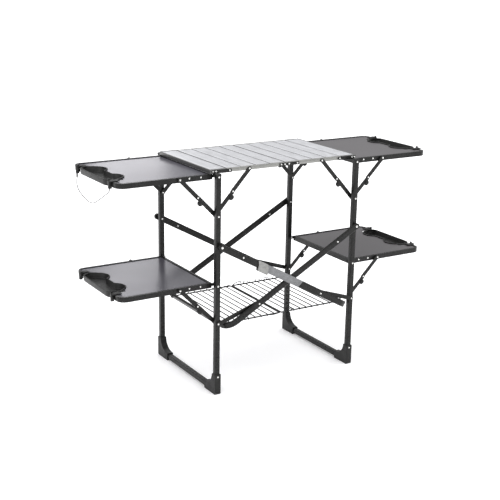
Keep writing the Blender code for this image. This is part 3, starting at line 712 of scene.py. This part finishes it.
def make_side_tables(plastic, decks):
    for side_name in SIDES:
        for level in LEVELS:
            make_tray(level, side_name, plastic)
            soften_node(f"table_deck_{level}_{side_name}", decks[side_name], 0.0)


# ---- Wire rack --------------------------------------------------------------------------------
RAIL_RADIUS = 0.0026
WIRE_RADIUS = 0.0020


def rack_hook(side, y, rail_z, near_x):
    """The rail's end, bent up and over the brace's crossbar."""
    along = Vector((cos(BAR_SLOPE), 0, -sin(BAR_SLOPE)))
    across = Vector((sin(BAR_SLOPE), 0, cos(BAR_SLOPE)))
    center = Vector((BAR_END.x, 0, BAR_END.z))
    clear_across, clear_along = 0.0150, 0.0078
    turns = [center - along * clear_along + across * 0.004,
             center - along * clear_along + across * clear_across * 0.8,
             center - along * 0.0035 + across * (clear_across + 0.0025),
             center + along * 0.0035 + across * (clear_across + 0.0025),
             center + along * clear_along + across * clear_across * 0.8,
             center + along * clear_along - across * 0.004]
    path = [Vector((near_x - 0.012, 0, rail_z)), Vector((near_x - 0.004, 0, rail_z))] + turns
    return [Vector((side * point.x, y, point.z)) for point in smooth_route(path, 5)]


def make_rack(wire):
    for side_name, side in SIDES.items():
        low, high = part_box(f"rack_{side_name}")
        near, far = sorted((abs(low.x), abs(high.x)))
        near, far = near + RAIL_RADIUS, far - RAIL_RADIUS
        rail_y = high.y - 0.6 * RAIL_RADIUS
        z = (low.z + high.z) / 2
        mesh = bmesh.new()
        for end in ENDS.values():
            add_tube(mesh, [(side * near, end * rail_y, z), (side * (far - 0.012), end * rail_y, z)],
                     RAIL_RADIUS, 12)
            add_tube(mesh, rack_hook(side, end * rail_y, z, far), RAIL_RADIUS, 12)
        pitch = (far - near) / 9
        for number in range(10):
            x = side * (near + pitch * number)
            edge = number in (0, 9)
            radius = RAIL_RADIUS if edge else WIRE_RADIUS
            lift = 0.0 if edge else RAIL_RADIUS + WIRE_RADIUS * 0.55
            out = rail_y + (0.0 if edge else 0.0014)
            drop = z + lift - (0.0 if edge else 0.0062)
            path = [(x, -out, z), (x, out, z)] if edge else \
                [(x, -out - 0.0022, drop), (x, -out - 0.0016, z + lift - 0.0022),
                 (x, -out + 0.0016, z + lift),
                 (x, out - 0.0016, z + lift), (x, out + 0.0016, z + lift - 0.0022), (x, out + 0.0022, drop)]
            add_tube(mesh, path, radius, 10)
        piece = finish_piece(f"rack_wires_{side_name}", mesh, wire, f"rack_{side_name}", 50)
        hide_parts(f"rack_{side_name}")


def make_rack_joiner(wire):
    """Locking splints at the rack's middle and the small loops on its back rail."""
    low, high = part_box("rack_right")
    rail_y = high.y - 0.6 * RAIL_RADIUS
    z = (low.z + high.z) / 2
    mesh = bmesh.new()
    for end in ENDS.values():
        y = end * (rail_y + 0.0058)
        route = smooth_route([(0.0080, y, z + 0.0002), (0.016, y, z + 0.0040), (0.030, y, z + 0.0095),
                              (0.044, y, z + 0.0105),
                              (0.047, y, z + 0.0060), (0.042, y, z + 0.0045)], 5)
        add_tube(mesh, route, 0.0016, 10)
    for x in (0.065, 0.120, 0.165):
        ring = [(x + 0.0115 * cos(a), rail_y - 0.004 + 0.0105 * sin(a) * 0.8, z + 0.0058 + 0.0028 * sin(a))
                for a in (2 * pi * i / 28 for i in range(28))]
        add_tube(mesh, ring, 0.0013, 8, True)
    finish_piece("rack_splints_right", mesh, wire, "rack_right", 50)
    mesh = bmesh.new()
    for end in ENDS.values():
        y = end * (rail_y + 0.0058)
        route = smooth_route([(-0.050, y, z + 0.0002), (-0.034, y, z - 0.0006), (-0.016, y, z + 0.0008),
                              (-0.006, y, z + 0.0024)], 5)
        add_tube(mesh, route, 0.0016, 10)
    finish_piece("rack_splints_left", mesh, wire, "rack_left", 50)


# ---- Strap ------------------------------------------------------------------------------------
def bar_point(along, across, y):
    """A point on the left brace's front bar: along it from its pivot, across it, at a depth."""
    return Vector((-LEG_X + along * cos(BAR_SLOPE) + across * sin(BAR_SLOPE), y,
                   BAR_PIVOT_Z - along * sin(BAR_SLOPE) + across * cos(BAR_SLOPE)))


def add_sleeve(mesh, start, end, slant, half, front, back, grow, seed, ripple, stations=48):
    """Cloth wrapped round the bar. Slant skews both ends, grow is its slack at the lower edge."""
    random = Random(seed)
    waves = [(random.uniform(30, 90), random.uniform(0, 6.3), random.uniform(0.4, 1.0)) for _ in range(5)]
    section = [(half, back)] + [(half, back + (front - back) * 0.5)] + \
        [(half * cos(pi * i / 16), front) for i in range(17)] + \
        [(-half, back + (front - back) * 0.5), (-half, back)] + \
        [(-half * cos(pi * i / 8), back) for i in range(1, 8)]
    rings = []
    for station in range(stations + 1):
        share = station / stations
        along = start + (end - start) * share
        fold = sum(height * sin(rate * along + phase) for rate, phase, height in waves) / 5
        ring = []
        for across, depth in section:
            lean = slant * across / half
            reach = across - (grow if across < 0 else 0) * (-across / half) if across < 0 else across
            push = ripple * fold if depth == front else 0
            belly = 0.0011 * (1 - (across / half) ** 2) if depth == front else 0
            ring.append(mesh.verts.new(bar_point(along + lean, reach, depth - belly - push)))
        rings.append(ring)
    for lower, upper in zip(rings, rings[1:]):
        for i in range(len(section)):
            j = (i + 1) % len(section)
            mesh.faces.new((lower[i], lower[j], upper[j], upper[i]))


def cloth_piece(name, mesh, material, body, thickness):
    piece = finish_piece(name, mesh, material, body, 60)
    solid = piece.modifiers.new("thickness", "SOLIDIFY")
    solid.thickness = thickness
    solid.offset = 1
    return piece


def make_strap(band_cloth, patch_cloth, thread):
    low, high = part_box("strap")
    start = (low.x + LEG_X) / cos(BAR_SLOPE) + 0.006
    end = (high.x + LEG_X) / cos(BAR_SLOPE) - 0.006
    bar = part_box("brace_left")[0].y
    front, back = bar - 0.0005, bar + 0.0102
    band = bmesh.new()
    add_sleeve(band, start + 0.040, end, 0.0045, 0.0132, front, back, 0.0, 3, 0.0005)
    band = cloth_piece("strap_band", band, band_cloth, "brace_left", 0.0008)
    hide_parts("strap")
    patch = bmesh.new()
    add_sleeve(patch, start, start + 0.046, -0.0075, 0.0140, front - 0.0010, back, 0.0065, 8, 0.0004, 24)
    cloth_piece("strap_patch", patch, patch_cloth, "brace_left", 0.0009)
    stitches = bmesh.new()
    for along, lean in ((end - 0.004, 0.0045), (end - 0.0105, 0.0045), (start + 0.050, 0.0045)):
        for number in range(9):
            across = -0.0108 + 0.0027 * number
            shift = along + lean * across / 0.0132
            belly = 0.0011 * (1 - (across / 0.0132) ** 2)
            y = front - belly - 0.0013
            add_tube(stitches, [bar_point(shift, across - 0.0008, y + 0.0003), bar_point(shift, across, y),
                                bar_point(shift, across + 0.0008, y + 0.0003)], 0.00035, 6)
    finish_piece("strap_stitches", stitches, thread, "brace_left", 60)


# ---- Wire loop --------------------------------------------------------------------------------
# The loop's route in Y and Z from the back hook to the front one, the same points as its CAD solid.
LOOP_X = -0.6605
LOOP_DIAMETER = 0.0028
LOOP_POINTS = [
    (0.1370, 0.7811), (0.1378, 0.7700), (0.1410, 0.7560), (0.1420, 0.7430), (0.1350, 0.7300),
    (0.1190, 0.7195), (0.0980, 0.7120), (0.0740, 0.7055), (0.0490, 0.7010), (0.0240, 0.7000),
    (0.0000, 0.7040), (-0.0230, 0.7125), (-0.0460, 0.7235), (-0.0700, 0.7355), (-0.0930, 0.7475),
    (-0.1130, 0.7580), (-0.1275, 0.7665), (-0.1355, 0.7740), (-0.1370, 0.7811),
]


def make_wire_loop(wire, steel, plastic):
    data = bpy.data.curves.new("steel_loop", "CURVE")
    data.dimensions = "3D"
    data.bevel_depth = LOOP_DIAMETER / 2
    data.bevel_resolution = 3
    data.use_fill_caps = True
    route = smooth_route([(LOOP_X, y, z) for y, z in LOOP_POINTS], 6)
    spline = data.splines.new("POLY")
    spline.points.add(len(route) - 1)
    for point, place in zip(spline.points, route):
        point.co = (*place, 1)
    data.materials.append(wire)
    loop = bpy.data.objects.new("steel_loop", data)
    bpy.context.scene.collection.objects.link(loop)
    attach(loop, "table_upper_left")
    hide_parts("wire_loop")
    ends = bmesh.new()
    back, front = Vector(route[0]), Vector(route[-1])
    sleeve = [(0, 0), (0, 0.0024), (0.0008, 0.0028), (0.0125, 0.0028), (0.0135, 0.0022), (0.0135, 0)]
    add_lathe(ends, back, Vector(route[6]) - back, sleeve, 16)
    ferrules = finish_piece("loop_ferrule", ends, plastic, "table_upper_left", 50)
    ring = bmesh.new()
    center = front + Vector((0, 0.0003, -0.0046))
    add_tube(ring, [(center.x + 0.0004, center.y + 0.0042 * cos(a), center.z + 0.0042 * sin(a))
                    for a in (2 * pi * i / 24 for i in range(24))], 0.0009, 8, True)
    ring = finish_piece("loop_ring", ring, steel, "table_upper_left", 60)


# ---- Studio -----------------------------------------------------------------------------------
def make_floor():
    bpy.ops.mesh.primitive_plane_add(size=240, location=(0, 0, 0))
    floor = bpy.context.object
    floor.name = "studio_floor"
    surface = Surface("studio_floor", (0.95, 0.95, 0.95), 0.8, Specular_IOR_Level=0.2,
                      Emission_Strength=0.2)
    surface.color(surface.noise(0.6, 2), [(0.2, (0.945, 0.945, 0.95)), (0.8, (0.96, 0.96, 0.96))])
    floor.data.materials.append(surface.material)


def add_light(name, place, target, size, power, color=(1, 1, 1)):
    data = bpy.data.lights.new(name, "AREA")
    data.shape = "RECTANGLE"
    data.size, data.size_y = size
    data.energy = power
    data.color = color
    light = bpy.data.objects.new(name, data)
    bpy.context.scene.collection.objects.link(light)
    aim = Vector(target) - Vector(place)
    light.matrix_world = Matrix.Translation(place) @ aim.to_track_quat("-Z", "Y").to_matrix().to_4x4()


def make_studio():
    """A bright ceiling over dimmer walls, as in a light tent, with soft boxes round the table."""
    world = bpy.data.worlds.new("studio")
    bpy.context.scene.world = world
    world.use_nodes = True
    nodes, links = world.node_tree.nodes, world.node_tree.links
    parts = nodes.new("ShaderNodeSeparateXYZ")
    ramp = nodes.new("ShaderNodeValToRGB")
    links.new(nodes.new("ShaderNodeTexCoord").outputs["Generated"], parts.inputs["Vector"])
    links.new(parts.outputs["Z"], ramp.inputs["Fac"])
    links.new(ramp.outputs["Color"], nodes["Background"].inputs["Color"])
    shades = [(0.0, 0.14), (0.28, 0.15), (0.52, 0.36), (0.60, 0.68), (1.0, 0.93)]
    while len(ramp.color_ramp.elements) < len(shades):
        ramp.color_ramp.elements.new(0.5)
    for element, (place, shade) in zip(ramp.color_ramp.elements, shades):
        element.position = place
        element.color = (shade, shade, shade * 1.01, 1)
    nodes["Background"].inputs["Strength"].default_value = 2.35
    bpy.context.scene.view_settings.view_transform = "Standard"
    bpy.context.scene.view_settings.look = "None"
    add_light("key", (-3.2, -0.6, 2.2), (0, 0, 0.4), (0.8, 1.6), 14)
    add_light("side", (3.0, -1.6, 1.9), (0, 0, 0.5), (0.6, 2.0), 16)
    add_light("sheen", (1.06, 3.4, 1.62), (-0.5, 0, 0.5), (0.55, 0.60), 2.1, (0.98, 0.97, 1.0))


make_camera()
STEEL = powder_coat("black_powder_coat", (0.006, 0.006, 0.0057), (0.014, 0.014, 0.0133), 0.22, 0.36)
WIRE = powder_coat("black_rack_wire", (0.005, 0.005, 0.0048), (0.011, 0.011, 0.0105), 0.30, 0.46)
PLASTIC = moulded_plastic("black_moulding", (0.008, 0.008, 0.008), (0.017, 0.017, 0.016))
KNOB = moulded_plastic("black_knob", (0.007, 0.007, 0.007), (0.014, 0.014, 0.0135))
SLAT = slat_metal()
RAIL = drawn_metal("satin_rail", (0.20, 0.20, 0.19), (0.33, 0.33, 0.315), (16, 900, 900))
# The edge trims get a darker copy of the rails' satin aluminium for the shade that falls on them: painted
# shade.
SHADED_TRIM = drawn_metal("satin_edge_trim_painted_shade", (0.10, 0.10, 0.10), (0.17, 0.17, 0.165), (900, 16, 900))
# The left decks get a bluer, slightly lighter copy of the deck grey for the sheen they reflect: painted sheen.
# The right decks keep the plainer, darker grey.
DECKS = {"left": deck_coat("deck_grey_painted_sheen_left", (0.088, 0.085, 0.102), (0.102, 0.099, 0.118), 0.22, 0.26),
         "right": deck_coat("deck_grey_right", (0.086, 0.080, 0.085), (0.100, 0.093, 0.098), 0.34, 0.40)}
RIVET = bright_steel("rivet_steel", (0.88, 0.88, 0.86), 0.14, 0.28)
BAND = webbing("strap_webbing", (0.15, 0.152, 0.158), (0.27, 0.272, 0.28), 260)
PATCH = webbing("strap_patch_cloth", (0.24, 0.24, 0.232), (0.40, 0.40, 0.385), 330)
THREAD = webbing("strap_thread", (0.09, 0.092, 0.095), (0.17, 0.172, 0.176), 900)
ROPE = stranded_wire()

make_wire_loop(ROPE, RIVET, PLASTIC)
dress_frame(STEEL, PLASTIC, WIRE)
make_leg_caps(PLASTIC)
make_brace_plugs(PLASTIC)
make_rivets(RIVET)
make_top(SLAT, RAIL, STEEL, RIVET)
make_side_tables(PLASTIC, DECKS)
make_rack(WIRE)
make_rack_joiner(WIRE)
make_strap(BAND, PATCH, THREAD)
make_floor()
make_studio()
